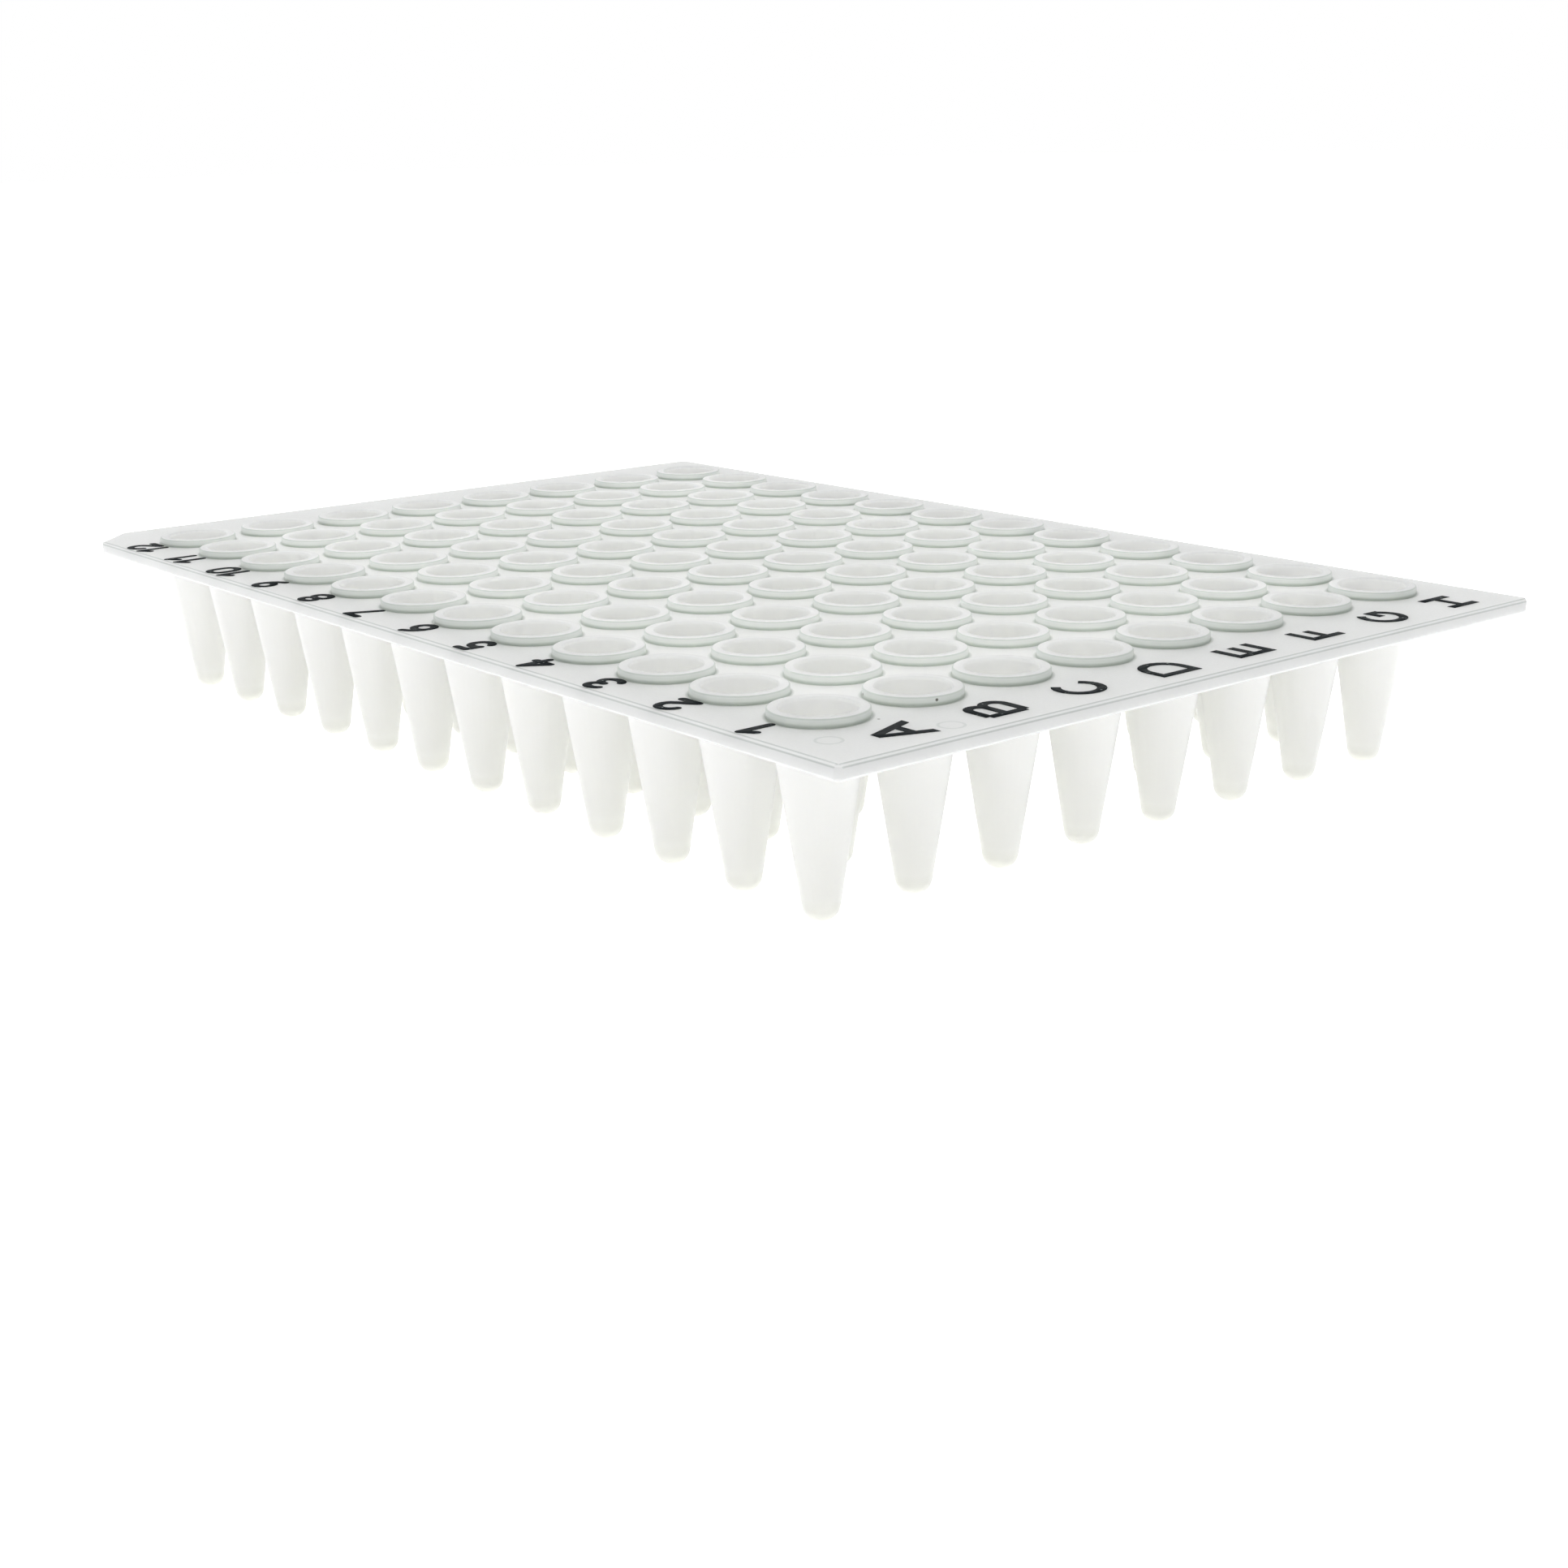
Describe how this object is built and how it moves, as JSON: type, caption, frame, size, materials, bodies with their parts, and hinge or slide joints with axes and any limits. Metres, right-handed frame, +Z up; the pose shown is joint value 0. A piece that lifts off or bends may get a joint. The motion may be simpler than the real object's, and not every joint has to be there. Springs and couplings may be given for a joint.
{
  "type": "well plate",
  "caption": "Unskirted laboratory well plate: flat deck with a grid of tapered tubes, raised rims and one cut corner.",
  "frame": {"origin": "centre of the well grid, on the plane of the tube tips that the plate rests on", "axes": "+Z up out of the wells, +X along the long side toward column 12, +Y toward row A"},
  "size_m": [0.1208, 0.078, 0.0159],
  "materials": {
    "polypropylene": "satin"
  },
  "bodies": {
    "root": {"plate": "polypropylene"}
  },
  "joints": []
}
